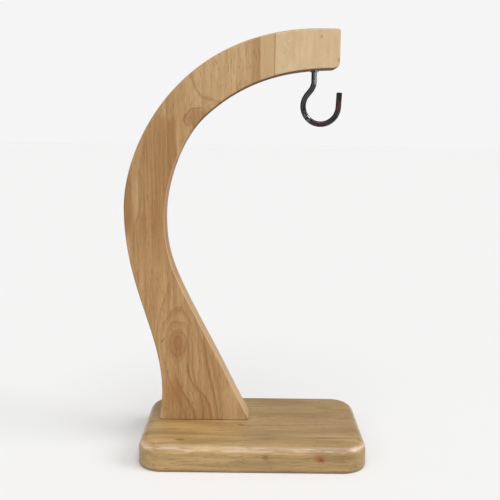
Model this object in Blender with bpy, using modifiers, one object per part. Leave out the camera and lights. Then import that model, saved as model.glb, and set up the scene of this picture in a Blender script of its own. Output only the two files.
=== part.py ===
# A hanger stand: a curved board stands on a rounded block and carries one screw hook.
# Units are metres and degrees, +Z is up, and the origin is the centre of the base's underside.

import math

import bmesh
import bpy
from mathutils import Matrix, Vector
from mathutils.geometry import interpolate_bezier

COLLECTION = "hanger_stand"

GAP = 0.0003                  # clearance left between faces that touch

# Base block
BASE_LENGTH = 0.170
BASE_DEPTH = 0.105
BASE_HEIGHT = 0.021
BASE_CORNER_RADIUS = 0.019    # corners seen from above
BASE_TOP_ROUND = 0.0093       # upper edge
BASE_FOOT_ROUND = 0.0018      # lower edge

# Arm, sawn from a board of even thickness
ARM_THICKNESS = 0.019
ARM_SETBACK = 0.0053          # middle of the board behind the middle of the base
ARM_FOOT_INSET = 0.012        # left end of the base to the foot
ARM_FOOT_LENGTH = 0.070
ARM_HEIGHT = 0.2992           # foot to crown
ARM_REACH = 0.1600            # belly to tip
ARM_EDGE_ROUND = 0.0014
WAIST_HEIGHT = 0.0225
WAIST_TUCK = 0.0020           # how far the waist stands in from the foot
BELLY_HEIGHT = 0.1655
BELLY_OVERHANG = 0.0260       # how far the belly stands out from the foot
THROAT_WIDTH = 0.0310         # belly to the inner edge
THROAT_DROP = 0.0055          # belly's height less the throat's
TIP_DEPTH = 0.0284            # crown to the underside at the tip
TIP_FOOT_ROUND = 0.0050
CORNER_SPARE = 0.0004         # by how much a corner's radius passes the edge's
TIP_BLOCK_LENGTH = 0.0477     # glue joint to the tip

# Run of the arm's outline: headings at its points, and how far each one holds before and after
FOOT_LEFT_HEADING = 85.0
FOOT_LEFT_HOLD = 0.006
WAIST_HOLDS = (0.006, 0.048)
BELLY_HOLDS = (0.061, 0.049)
CROWN_FROM_TIP = 0.0140
CROWN_HOLDS = (0.103, 0.004)
UNDERSIDE_HEADING = -178.0
UNDERSIDE_HOLD = 0.021
SHOULDER_FROM_TIP = 0.0995    # inner edge where it turns downward
SHOULDER_DROP = 0.0640        # below the crown
SHOULDER_HEADING = -137.0
SHOULDER_HOLDS = (0.0485, 0.025)
THROAT_HOLDS = (0.024, 0.032)
HEEL_HEADING = -62.5          # the straight run down to the foot's right end
HEEL_TOP = (0.0260, 0.0535)   # in from the foot's right end, and up
HEEL_TOP_HOLDS = (0.073, 0.010)
HEEL_LOW = (0.0060, 0.0135)
HEEL_LOW_HOLDS = (0.010, 0.0055)
FOOT_RIGHT_HEADING = -92.0

# Hook, bent from wire with a screw point
WIRE_DIAMETER = 0.0042
HOOK_FROM_TIP = 0.0180        # arm's tip to the shank's axis
HOOK_BOWL_RADIUS = 0.0132     # to the middle of the wire
HOOK_BOWL_OFFSET = 0.0054     # bowl's centre beyond the shank's axis
HOOK_BOWL_DROP = 0.0269       # seat under the arm to the bowl's centre
HOOK_RUN_SLOPE = 51.0         # slope of the run between shank and bowl
HOOK_BEND_RADIUS = 0.0110     # to the middle of the wire
HOOK_LIP_LEAN = 2.6
HOOK_LIP_RISE = 0.0102        # bowl's centre to the end of the lip
HOOK_SCREW_LENGTH = 0.0220    # shank inside the wood
HOOK_POINT_LENGTH = 0.0050
HOOK_HOLE_SPARE = 0.0015      # hole beyond the screw's point
HOOK_POINT_SHARPNESS = 0.15   # share of the wire left at the end of the point

# Collar, a turned cone between the hook and the wood
COLLAR_DIAMETER = 0.0088
COLLAR_HEIGHT = 0.0021
COLLAR_RIM = 0.0005
COLLAR_WALL = 0.0006          # wall left round the shank at the small end
COLLAR_SEAT_MARGIN = 0.0004   # spot face beyond the collar

# Wood screws, up through the base into the arm
SCREW_DIAMETER = 0.0040
SCREW_LENGTH = 0.0450         # under the head
SCREW_INSET = 0.0150          # foot's left end to the first screw
SCREW_SPACING = 0.0300
SCREW_HEAD_DIAMETER = 0.0080
SCREW_HEAD_HEIGHT = 0.0028
SCREW_HEAD_DOME = ((1.0, 1 / 3), (0.85, 0.75), (0.5, 1.0))  # shares of its radius and height
SCREW_POINT_LENGTH = 0.0060
SCREW_SLOT_WIDTH = 0.0011
SCREW_SLOT_DEPTH = 0.0014
SCREW_SLOT_SPAN = 0.0046
COUNTERBORE_DEPTH = 0.0070
COUNTERBORE_MARGIN = 0.0010   # round the head

# Finishes: color, roughness, metallic
LIGHT_WOOD = ((0.60, 0.42, 0.25), 0.5, 0.0)
BASE_WOOD = ((0.53, 0.38, 0.22), 0.45, 0.0)
HOOK_STEEL = ((0.09, 0.09, 0.10), 0.4, 1.0)
COLLAR_STEEL = ((0.09, 0.09, 0.10), 0.45, 1.0)
SCREW_STEEL = ((0.45, 0.45, 0.47), 0.35, 1.0)

# Smoothness of the solids
OUTLINE_STEP = 0.004
WIRE_STEP = 0.0016
WIRE_SIDES_RESOLUTION = 3
TURNED_STEPS = 24
EDGE_SEGMENTS = 3
CORNER_SEGMENTS = 8
SHARP_ANGLE = 35.0            # edges sharper than this are shaded as edges
RIM_ANGLE = 45.0              # edges sharper than this are rounded on the arm

# Fixed numbers of the drawing
ARC_HANDLE = 0.5523           # handle of a quarter circle, as a share of its radius
LEAST_HOLD = 0.001
SAME = 1e-6                   # places nearer than this are one place
FLAT = 1e-4                   # faces turned less than this, in radians, are one face

# Places worked out from the sizes
ARM_FOOT_X = -BASE_LENGTH / 2 + ARM_FOOT_INSET
ARM_FOOT_Z = BASE_HEIGHT + GAP
TIP_X = ARM_FOOT_X - BELLY_OVERHANG + ARM_REACH
CROWN_Z = ARM_FOOT_Z + ARM_HEIGHT
JOINT_X = TIP_X - TIP_BLOCK_LENGTH
HOOK_X = TIP_X - HOOK_FROM_TIP
SEAT_Z = CROWN_Z - TIP_DEPTH
BOWL_X = HOOK_X + HOOK_BOWL_OFFSET
BOWL_Z = SEAT_Z - HOOK_BOWL_DROP
WIRE_RADIUS = WIRE_DIAMETER / 2
SCREW_SEAT_Z = COUNTERBORE_DEPTH - GAP
SCREW_PLACES = {
    "arm_screw_left": ARM_FOOT_X + SCREW_INSET,
    "arm_screw_right": ARM_FOOT_X + SCREW_INSET + SCREW_SPACING,
}
PAST = 0.002                  # how far a cutter runs past what it cuts


def clear_scene():
    for old in list(bpy.data.objects):
        bpy.data.objects.remove(old)


def new_collection(name):
    collection = bpy.data.collections.new(name)
    bpy.context.scene.collection.children.link(collection)
    return collection


def material(name, finish):
    color, roughness, metallic = finish
    made = bpy.data.materials.new(name)
    made.use_nodes = True
    shader = made.node_tree.nodes["Principled BSDF"]
    shader.inputs["Base Color"].default_value = (*color, 1.0)
    shader.inputs["Roughness"].default_value = roughness
    shader.inputs["Metallic"].default_value = metallic
    made.diffuse_color = (*color, 1.0)
    return made


def place(mesh, name, collection, finish=None, origin=(0, 0, 0)):
    """Puts a mesh given in world coordinates into an object whose origin is at the point given."""
    mesh.transform(Matrix.Translation(-Vector(origin)))
    made = bpy.data.objects.new(name, mesh)
    made.location = origin
    collection.objects.link(made)
    if finish:
        mesh.materials.clear()
        mesh.materials.append(finish)
    return made


def curve_to_mesh(curve, matrix=Matrix()):
    """The closed mesh of a curve, with its caps joined on."""
    holder = bpy.data.objects.new(curve.name, curve)
    bpy.context.scene.collection.objects.link(holder)
    graph = bpy.context.evaluated_depsgraph_get()
    mesh = bpy.data.meshes.new_from_object(holder.evaluated_get(graph))
    bpy.data.objects.remove(holder)
    mesh.transform(matrix)
    bm = bmesh.new()
    bm.from_mesh(mesh)
    bmesh.ops.remove_doubles(bm, verts=bm.verts, dist=SAME)
    bmesh.ops.recalc_face_normals(bm, faces=bm.faces)
    bm.to_mesh(mesh)
    bm.free()
    return mesh


def smooth(mesh):
    mesh.shade_smooth()
    mesh.set_sharp_from_angle(angle=math.radians(SHARP_ANGLE))


def box_mesh(name, low, high):
    bm = bmesh.new()
    bmesh.ops.create_cube(bm, size=1.0)
    low, high = Vector(low), Vector(high)
    bmesh.ops.scale(bm, vec=high - low, verts=bm.verts)
    bmesh.ops.translate(bm, vec=(low + high) / 2, verts=bm.verts)
    mesh = bpy.data.meshes.new(name)
    bm.to_mesh(mesh)
    bm.free()
    return mesh


def cylinder_mesh(name, x, y, low, high, radius):
    bm = bmesh.new()
    bmesh.ops.create_cone(
        bm, cap_ends=True, segments=TURNED_STEPS, radius1=radius, radius2=radius, depth=high - low
    )
    bmesh.ops.translate(bm, vec=(x, y, (low + high) / 2), verts=bm.verts)
    mesh = bpy.data.meshes.new(name)
    bm.to_mesh(mesh)
    bm.free()
    return mesh


def cutter(mesh, cutters):
    tool = place(mesh, mesh.name, cutters)
    tool.hide_render = True
    tool.display_type = "WIRE"
    return tool


def cut(target, tools):
    for tool in tools:
        modifier = target.modifiers.new(tool.name, "BOOLEAN")
        modifier.operation = "DIFFERENCE"
        modifier.solver = "EXACT"
        modifier.object = tool


def turned(name, profile, collection, finish, origin):
    """A shape turned about +Z through its origin; the profile runs down its outer side."""
    mesh = bpy.data.meshes.new(name)
    count = len(profile)
    closed_ring = all(radius > 0 for radius, _ in profile)
    edges = [(i, i + 1) for i in range(count - 1)]
    if closed_ring:
        edges.append((count - 1, 0))
    mesh.from_pydata([(radius, 0, z) for radius, z in profile], edges, [])
    made = place(mesh, name, collection, finish)
    made.location = origin
    screw = made.modifiers.new("turn", "SCREW")
    screw.axis = "Z"
    screw.steps = TURNED_STEPS
    screw.render_steps = TURNED_STEPS
    screw.use_merge_vertices = True
    screw.merge_threshold = SAME
    screw.use_smooth_shade = True
    return made


def knot(x, z, heading, before, after):
    """One point of an outline: its place, the way the outline heads there, and its two handles."""
    ahead = Vector((math.cos(math.radians(heading)), math.sin(math.radians(heading)), 0))
    point = Vector((x, z, 0))
    return point - ahead * before, point, point + ahead * after


def rounded_corner(x, z, heading_in, heading_out, radius, after=LEAST_HOLD):
    """Two knots that round the corner at a point between two headings."""
    handle = radius * ARC_HANDLE
    first = Vector((math.cos(math.radians(heading_in)), math.sin(math.radians(heading_in))))
    last = Vector((math.cos(math.radians(heading_out)), math.sin(math.radians(heading_out))))
    start = Vector((x, z)) - first * radius
    end = Vector((x, z)) + last * radius
    return [
        knot(start.x, start.y, heading_in, LEAST_HOLD, handle),
        knot(end.x, end.y, heading_out, handle, after),
    ]


def arm_knots():
    """The sawn outline, up the outer edge from the foot, round the tip and down the inner edge."""
    left = ARM_FOOT_X
    right = ARM_FOOT_X + ARM_FOOT_LENGTH
    foot = ARM_FOOT_Z
    belly = left - BELLY_OVERHANG
    underside = CROWN_Z - TIP_DEPTH
    corner = ARM_EDGE_ROUND + CORNER_SPARE
    throat = foot + BELLY_HEIGHT - THROAT_DROP
    shoulder_x, shoulder_z = TIP_X - SHOULDER_FROM_TIP, CROWN_Z - SHOULDER_DROP
    return [
        *rounded_corner(left, foot, 180, FOOT_LEFT_HEADING, corner, FOOT_LEFT_HOLD),
        knot(left + WAIST_TUCK, foot + WAIST_HEIGHT, 90, *WAIST_HOLDS),
        knot(belly, foot + BELLY_HEIGHT, 90, *BELLY_HOLDS),
        knot(TIP_X - CROWN_FROM_TIP, CROWN_Z, 0, *CROWN_HOLDS),
        *rounded_corner(TIP_X, CROWN_Z, 0, -90, corner),
        *rounded_corner(
            TIP_X, underside, -90, UNDERSIDE_HEADING, TIP_FOOT_ROUND, UNDERSIDE_HOLD
        ),
        knot(shoulder_x, shoulder_z, SHOULDER_HEADING, *SHOULDER_HOLDS),
        knot(belly + THROAT_WIDTH, throat, -90, *THROAT_HOLDS),
        knot(right - HEEL_TOP[0], foot + HEEL_TOP[1], HEEL_HEADING, *HEEL_TOP_HOLDS),
        knot(right - HEEL_LOW[0], foot + HEEL_LOW[1], HEEL_HEADING, *HEEL_LOW_HOLDS),
        *rounded_corner(right, foot, FOOT_RIGHT_HEADING, -180, corner),
    ]


def outline_points(knots):
    """Points along the closed outline, about one for each step of its length."""
    points = []
    for (_, start, leave), (arrive, end, _) in zip(knots, knots[1:] + knots[:1]):
        chord = (end - start).normalized()
        bow = chord.cross(leave - start).length + chord.cross(end - arrive).length
        if bow < SAME:
            points.append(start)
            continue
        count = max(3, round((end - start).length / OUTLINE_STEP))
        points += interpolate_bezier(start, leave, arrive, end, count + 1)[:-1]
    return points


def on_one_side(points, x, side):
    """The part of an outline on one side of an upright line: side is -1 for left and +1 for right."""
    kept = []
    for start, end in zip(points, points[1:] + points[:1]):
        if (start.x - x) * side >= 0:
            kept.append(start)
        if (start.x - x) * (end.x - x) < 0:
            kept.append(start.lerp(end, (x - start.x) / (end.x - start.x)))
    return kept


def sawn_piece(name, points, joint_x):
    """A board sawn to an outline, its long edges rounded, its foot and its glue joint left square."""
    curve = bpy.data.curves.new(name, "CURVE")
    curve.dimensions = "2D"
    curve.fill_mode = "BOTH"
    curve.extrude = ARM_THICKNESS / 2
    spline = curve.splines.new("POLY")
    spline.points.add(len(points) - 1)
    for target, point in zip(spline.points, points):
        target.co = (point.x, point.y, 0, 1)
    spline.use_cyclic_u = True
    upright = Matrix.Translation((0, ARM_SETBACK, 0)) @ Matrix.Rotation(math.radians(90), 4, "X")
    mesh = curve_to_mesh(curve, upright)
    bm = bmesh.new()
    bm.from_mesh(mesh)
    bmesh.ops.dissolve_limit(bm, angle_limit=FLAT, verts=bm.verts, edges=bm.edges)

    def square(edge):
        first, second = (vert.co for vert in edge.verts)
        across = abs(first.y - second.y) > SAME
        at_foot = max(first.z, second.z) < ARM_FOOT_Z + SAME
        at_joint = max(abs(first.x - joint_x), abs(second.x - joint_x)) < SAME
        return across or at_foot or at_joint

    rim = [e for e in bm.edges if e.calc_face_angle() > math.radians(RIM_ANGLE) and not square(e)]
    bmesh.ops.bevel(
        bm, geom=rim, offset=ARM_EDGE_ROUND, segments=EDGE_SEGMENTS, profile=0.5, affect="EDGES"
    )
    bm.to_mesh(mesh)
    bm.free()
    smooth(mesh)
    return mesh


def make_base(parts, cutters, wood):
    bm = bmesh.new()
    bmesh.ops.create_cube(bm, size=1.0)
    bmesh.ops.scale(bm, vec=(BASE_LENGTH, BASE_DEPTH, BASE_HEIGHT), verts=bm.verts)
    bmesh.ops.translate(bm, vec=(0, 0, BASE_HEIGHT / 2), verts=bm.verts)
    uprights = [edge for edge in bm.edges if abs(edge.verts[0].co.z - edge.verts[1].co.z) > SAME]
    bmesh.ops.bevel(
        bm,
        geom=uprights,
        offset=BASE_CORNER_RADIUS,
        segments=CORNER_SEGMENTS,
        profile=0.5,
        affect="EDGES",
    )
    for height, radius, segments in (
        (BASE_HEIGHT, BASE_TOP_ROUND, 2 * EDGE_SEGMENTS),
        (0.0, BASE_FOOT_ROUND, EDGE_SEGMENTS),
    ):
        rim = [edge for edge in bm.edges if all(abs(v.co.z - height) < SAME for v in edge.verts)]
        bmesh.ops.bevel(
            bm, geom=rim, offset=radius, segments=segments, profile=0.5, affect="EDGES"
        )
    mesh = bpy.data.meshes.new("base")
    bm.to_mesh(mesh)
    bm.free()
    smooth(mesh)
    base = place(mesh, "base", parts, wood)
    tools = []
    for name, x in SCREW_PLACES.items():
        shank = cylinder_mesh(
            name + "_clearance",
            x,
            ARM_SETBACK,
            -PAST,
            BASE_HEIGHT + PAST,
            SCREW_DIAMETER / 2 + GAP,
        )
        recess = cylinder_mesh(
            name + "_counterbore",
            x,
            ARM_SETBACK,
            -PAST,
            COUNTERBORE_DEPTH,
            SCREW_HEAD_DIAMETER / 2 + COUNTERBORE_MARGIN,
        )
        tools += [cutter(shank, cutters), cutter(recess, cutters)]
    cut(base, tools)


def make_arm(parts, cutters, board_wood, block_wood):
    """The arm in its two pieces, glued edge to edge at an upright joint."""
    outline = outline_points(arm_knots())
    board_end = JOINT_X - GAP / 2
    block_end = JOINT_X + GAP / 2
    board_mesh = sawn_piece("arm_board", on_one_side(outline, board_end, -1), board_end)
    block_mesh = sawn_piece("arm_tip_block", on_one_side(outline, block_end, 1), block_end)
    board = place(board_mesh, "arm_board", parts, board_wood)
    block = place(block_mesh, "arm_tip_block", parts, block_wood)
    pilots = [
        cutter(
            cylinder_mesh(
                name + "_pilot",
                x,
                ARM_SETBACK,
                ARM_FOOT_Z - PAST,
                SCREW_SEAT_Z + SCREW_LENGTH + GAP,
                SCREW_DIAMETER / 2 + GAP,
            ),
            cutters,
        )
        for name, x in SCREW_PLACES.items()
    ]
    cut(board, pilots)
    spot_face = cylinder_mesh(
        "collar_spot_face",
        HOOK_X,
        ARM_SETBACK,
        SEAT_Z - COLLAR_DIAMETER,
        SEAT_Z + GAP,
        COLLAR_DIAMETER / 2 + COLLAR_SEAT_MARGIN,
    )
    hook_hole = cylinder_mesh(
        "hook_hole",
        HOOK_X,
        ARM_SETBACK,
        SEAT_Z - PAST,
        SEAT_Z + HOOK_SCREW_LENGTH + HOOK_HOLE_SPARE,
        WIRE_RADIUS + GAP,
    )
    cut(block, [cutter(tool, cutters) for tool in (spot_face, hook_hole)])


def arc(center, radius, start, end):
    """Points on an arc, in degrees, about one for each step of its length."""
    turn = math.radians(end - start)
    count = max(2, round(abs(turn) * radius / WIRE_STEP))
    angles = [math.radians(start) + turn * i / count for i in range(count + 1)]
    return [center + radius * Vector((math.cos(a), math.sin(a))) for a in angles]


def hook_path():
    """The middle of the wire in the XZ plane, from the top of the shank round to the lip."""
    heading = 180 + HOOK_RUN_SLOPE
    run = Vector((math.cos(math.radians(heading)), math.sin(math.radians(heading))))
    bowl = Vector((BOWL_X, BOWL_Z))
    bowl_start = heading - 90
    bowl_end = -HOOK_LIP_LEAN + 360
    meets_bowl = bowl + HOOK_BOWL_RADIUS * Vector(
        (math.cos(math.radians(bowl_start)), math.sin(math.radians(bowl_start)))
    )
    corner = meets_bowl - run * ((meets_bowl.x - HOOK_X) / run.x)
    turn = heading - 270
    tangent = HOOK_BEND_RADIUS * math.tan(math.radians(abs(turn)) / 2)
    bend = Vector((HOOK_X - HOOK_BEND_RADIUS, corner.y + tangent))
    lip = Vector((math.sin(math.radians(HOOK_LIP_LEAN)), math.cos(math.radians(HOOK_LIP_LEAN))))
    around = arc(bowl, HOOK_BOWL_RADIUS, bowl_start, bowl_end)
    lip_end = around[-1] + lip * ((BOWL_Z + HOOK_LIP_RISE - around[-1].y) / lip.y)
    point_start = SEAT_Z + HOOK_SCREW_LENGTH - HOOK_POINT_LENGTH
    path = [
        (Vector((HOOK_X, SEAT_Z + HOOK_SCREW_LENGTH)), HOOK_POINT_SHARPNESS),
        (Vector((HOOK_X, point_start)), 1.0),
    ]
    for point in arc(bend, HOOK_BEND_RADIUS, 0, turn) + around + [lip_end]:
        path.append((point, 1.0))
    return path


def make_hook(parts, steel):
    curve = bpy.data.curves.new("hook", "CURVE")
    curve.dimensions = "3D"
    curve.bevel_depth = WIRE_RADIUS
    curve.bevel_resolution = WIRE_SIDES_RESOLUTION
    curve.use_fill_caps = True
    path = hook_path()
    spline = curve.splines.new("POLY")
    spline.points.add(len(path) - 1)
    for target, (point, share) in zip(spline.points, path):
        target.co = (point.x, ARM_SETBACK, point.y, 1)
        target.radius = share
    mesh = curve_to_mesh(curve)
    smooth(mesh)
    place(mesh, "hook", parts, steel, (HOOK_X, ARM_SETBACK, SEAT_Z))


def make_collar(parts, steel):
    bore = WIRE_RADIUS + GAP
    profile = [
        (COLLAR_DIAMETER / 2, 0.0),
        (COLLAR_DIAMETER / 2, -COLLAR_RIM),
        (bore + COLLAR_WALL, -COLLAR_HEIGHT),
        (bore, -COLLAR_HEIGHT),
        (bore, 0.0),
    ]
    turned("hook_collar", profile, parts, steel, (HOOK_X, ARM_SETBACK, SEAT_Z))


def make_screws(parts, cutters, steel):
    """Round-headed wood screws, point up, with a cross recess in the underside of the head."""
    shank = SCREW_DIAMETER / 2
    head = SCREW_HEAD_DIAMETER / 2
    profile = [
        (0.0, SCREW_LENGTH),
        (shank, SCREW_LENGTH - SCREW_POINT_LENGTH),
        (shank, 0.0),
        (head, 0.0),
        *((head * wide, -SCREW_HEAD_HEIGHT * deep) for wide, deep in SCREW_HEAD_DOME),
        (0.0, -SCREW_HEAD_HEIGHT),
    ]
    for name, x in SCREW_PLACES.items():
        screw = turned(name, profile, parts, steel, (x, ARM_SETBACK, SCREW_SEAT_Z))
        bottom = SCREW_SEAT_Z - SCREW_HEAD_HEIGHT
        for slot, wide, deep in (
            ("_slot_x", SCREW_SLOT_SPAN / 2, SCREW_SLOT_WIDTH / 2),
            ("_slot_y", SCREW_SLOT_WIDTH / 2, SCREW_SLOT_SPAN / 2),
        ):
            tool = box_mesh(
                name + slot,
                (x - wide, ARM_SETBACK - deep, bottom - PAST),
                (x + wide, ARM_SETBACK + deep, bottom + SCREW_SLOT_DEPTH),
            )
            cut(screw, [cutter(tool, cutters)])


def main():
    clear_scene()
    parts = new_collection(COLLECTION)
    cutters = new_collection(COLLECTION + "_cutters")
    arm_wood = material("arm_wood", LIGHT_WOOD)
    tip_wood = material("tip_wood", LIGHT_WOOD)
    make_base(parts, cutters, material("base_wood", BASE_WOOD))
    make_arm(parts, cutters, arm_wood, tip_wood)
    make_hook(parts, material("hook_steel", HOOK_STEEL))
    make_collar(parts, material("collar_steel", COLLAR_STEEL))
    make_screws(parts, cutters, material("screw_steel", SCREW_STEEL))


main()
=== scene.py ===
import math

import bmesh
import bpy
from mathutils import Matrix, Vector
from mathutils.geometry import interpolate_bezier


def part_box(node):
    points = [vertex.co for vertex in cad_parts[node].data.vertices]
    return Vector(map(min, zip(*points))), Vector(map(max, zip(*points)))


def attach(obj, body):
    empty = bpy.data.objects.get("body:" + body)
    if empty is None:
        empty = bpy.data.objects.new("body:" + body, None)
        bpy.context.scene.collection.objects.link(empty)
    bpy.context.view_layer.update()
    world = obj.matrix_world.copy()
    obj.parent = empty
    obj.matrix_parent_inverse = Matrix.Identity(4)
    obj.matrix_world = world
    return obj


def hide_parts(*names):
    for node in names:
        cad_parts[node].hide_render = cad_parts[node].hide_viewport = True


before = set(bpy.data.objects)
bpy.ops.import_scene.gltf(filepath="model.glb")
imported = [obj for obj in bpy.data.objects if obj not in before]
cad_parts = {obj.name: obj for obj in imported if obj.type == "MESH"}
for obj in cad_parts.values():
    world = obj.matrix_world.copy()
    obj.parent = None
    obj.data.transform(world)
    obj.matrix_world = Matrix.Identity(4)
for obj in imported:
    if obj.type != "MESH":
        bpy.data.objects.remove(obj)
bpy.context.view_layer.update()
print("frame loaded:", ", ".join(sorted(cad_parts)))

# Boxes of the solids, which every place below is worked out from
baseLow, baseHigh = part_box("base")
boardLow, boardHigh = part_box("arm_board")
tipLow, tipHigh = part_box("arm_tip_block")
hookLow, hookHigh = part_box("hook")
collarLow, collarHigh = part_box("hook_collar")
screwBoxes = {name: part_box(name) for name in ("arm_screw_left", "arm_screw_right")}
armMiddleY = (boardLow.y + boardHigh.y) / 2
jointX = (boardHigh.x + tipLow.x) / 2
shankX = (collarLow.x + collarHigh.x) / 2
seatZ = collarHigh.z


# Camera, light and floor

studio = {
    "cameraPlace": (-0.0033, -0.5590, 0.2474),
    "cameraPitch": 9.24,          # degrees down
    "cameraRoll": 0.65,           # degrees
    "cameraLens": 53.28,          # mm
    "sensorWidth": 36,            # mm
    "floorColor": (0.79, 0.79, 0.79),
    "floorRoughness": 0.9,
    "floorShine": 0.1,
    "floorRadius": 12,
    "floorSides": 64,
    "skyColor": (1.0, 0.99, 0.98),
    "skyStrength": 0.35,          # light that comes from all round
    "backdropColor": (1.0, 1.0, 1.0),
    "backdropStrength": 0.915,    # how white the air behind looks
}

# name: (degrees round from the front to the right, degrees up, how wide it looks, strength)
softLights = {
    "overhead": (10, 66, 45, 1.6),
    "frontLeft": (-35, 25, 60, 0.6),
    "right": (75, 35, 35, 1.3),
    "behind": (170, 55, 60, 0.12),
}


def makeStudio():
    scene = bpy.context.scene
    scene.view_settings.view_transform = "Standard"
    camera = bpy.data.cameras.new("camera")
    camera.lens = studio["cameraLens"]
    camera.sensor_width = studio["sensorWidth"]
    holder = bpy.data.objects.new("camera", camera)
    scene.collection.objects.link(holder)
    holder.matrix_world = (
        Matrix.Translation(studio["cameraPlace"])
        @ Matrix.Rotation(math.radians(90 - studio["cameraPitch"]), 4, "X")
        @ Matrix.Rotation(math.radians(studio["cameraRoll"]), 4, "Z")
    )
    scene.camera = holder

    world = bpy.data.worlds.new("studioAir")
    world.use_nodes = True
    scene.world = world
    world.node_tree.nodes.clear()
    bench = Bench(world.node_tree)
    light = {"Color": studio["skyColor"], "Strength": studio["skyStrength"]}
    light = bench.add("ShaderNodeBackground", light)
    seen = {"Color": studio["backdropColor"], "Strength": studio["backdropStrength"]}
    seen = bench.add("ShaderNodeBackground", seen)
    fromCamera = bench.add("ShaderNodeLightPath", output="Is Camera Ray")
    either = bench.add("ShaderNodeMixShader", (fromCamera, light, seen))
    bench.put(bench.tree.nodes.new("ShaderNodeOutputWorld").inputs[0], either)

    for name, (around, up, wide, strength) in softLights.items():
        lamp = bpy.data.lights.new(name, "SUN")
        lamp.energy = strength
        lamp.angle = math.radians(wide)
        holder = bpy.data.objects.new(name, lamp)
        scene.collection.objects.link(holder)
        a, e = math.radians(around), math.radians(up)
        toward = Vector((math.sin(a) * math.cos(e), -math.cos(a) * math.cos(e), math.sin(e)))
        holder.rotation_euler = (-toward).to_track_quat("-Z", "Y").to_euler()

    bm = bmesh.new()
    sides, radius = studio["floorSides"], studio["floorRadius"]
    bmesh.ops.create_circle(bm, cap_ends=True, segments=sides, radius=radius)
    floor = newObject("floor", meshOf(bm, "floor"))
    floor.location.z = baseLow.z
    paint = Paint("floorPaint", studio)
    paint.lay("floorColor")
    shine = studio["floorShine"]
    floor.data.materials.append(paint.finish(studio["floorRoughness"], Specular_IOR_Level=shine))
    print("studio ready")


# Mesh helpers

meshDetail = {
    "drillSides": 64,
    "drillPast": 0.01,        # how far a drill runs past the wood
    "smoothAngle": 40,        # degrees
    "wireSmoothAngle": 50,
    "arcHandle": 0.5523,      # a quarter circle's handle, as a share of its radius
    "onLine": 1e-6,           # points nearer than this to a line are on it
    "same": 1e-7,             # points nearer than this are one
    "sliver": 1e-8,           # edges shorter than this are dissolved
}


def newObject(name, mesh):
    made = bpy.data.objects.new(name, mesh)
    bpy.context.scene.collection.objects.link(made)
    return made


def meshOf(bm, name):
    mesh = bpy.data.meshes.new(name)
    bm.to_mesh(mesh)
    bm.free()
    return mesh


def shadeRound(mesh, angle=meshDetail["smoothAngle"]):
    mesh.shade_smooth()
    mesh.set_sharp_from_angle(angle=math.radians(angle))


def settled(holder, name):
    # the evaluated result as a plain mesh object at the origin
    graph = bpy.context.evaluated_depsgraph_get()
    mesh = bpy.data.meshes.new_from_object(holder.evaluated_get(graph))
    mesh.name = name
    bpy.data.objects.remove(holder)
    return newObject(name, mesh)


def stackedRings(name, rings):
    # a closed skin over rings of the same count, the first and the last one capped
    bm = bmesh.new()
    loops = [[bm.verts.new(point) for point in ring] for ring in rings]
    for lower, upper in zip(loops, loops[1:]):
        for i in range(len(lower)):
            j = (i + 1) % len(lower)
            bm.faces.new((lower[i], lower[j], upper[j], upper[i]))
    caps = [bm.faces.new(list(reversed(loops[0]))), bm.faces.new(loops[-1])]
    bmesh.ops.recalc_face_normals(bm, faces=bm.faces)
    bmesh.ops.triangulate(bm, faces=caps, ngon_method="EAR_CLIP")
    return meshOf(bm, name)


def drilled(piece, holes):
    # holes are (x, y, bottom, top, radius), upright
    name = piece.name
    sides = meshDetail["drillSides"]
    tools = []
    for x, y, bottom, top, radius in holes:
        bm = bmesh.new()
        bmesh.ops.create_cone(
            bm, cap_ends=True, segments=sides, radius1=radius, radius2=radius, depth=top - bottom
        )
        bmesh.ops.translate(bm, vec=(x, y, (bottom + top) / 2), verts=bm.verts)
        tools.append(newObject("drill", meshOf(bm, "drill")))
        cut = piece.modifiers.new("drill", "BOOLEAN")
        cut.operation = "DIFFERENCE"
        cut.solver = "EXACT"
        cut.object = tools[-1]
    made = settled(piece, name)
    for tool in tools:
        bpy.data.objects.remove(tool)
    made.name = name
    shadeRound(made.data)
    return made


def quarterRound(radius, steps):
    # (inset, drop) along a quarter round, from the flat face over to the side
    turns = [math.pi / 2 * i / steps for i in range(steps + 1)]
    return [(radius * (1 - math.sin(a)), radius * (1 - math.cos(a))) for a in turns]


def finishPiece(piece, node, body, material):
    piece.data.materials.clear()
    piece.data.materials.append(material)
    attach(piece, body)
    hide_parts(node)
    print("made", node)


# Node helpers, for materials and for Geometry Nodes

class Wire:
    # a node's output; adding, multiplying and so on make a math node

    def __init__(self, bench, socket):
        self.bench = bench
        self.socket = socket

    def __add__(self, other):
        return self.bench.math("ADD", self, other)

    def __sub__(self, other):
        return self.bench.math("SUBTRACT", self, other)

    def __rsub__(self, other):
        return self.bench.math("SUBTRACT", other, self)

    def __mul__(self, other):
        return self.bench.math("MULTIPLY", self, other)

    def __truediv__(self, other):
        return self.bench.math("DIVIDE", self, other)


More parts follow.
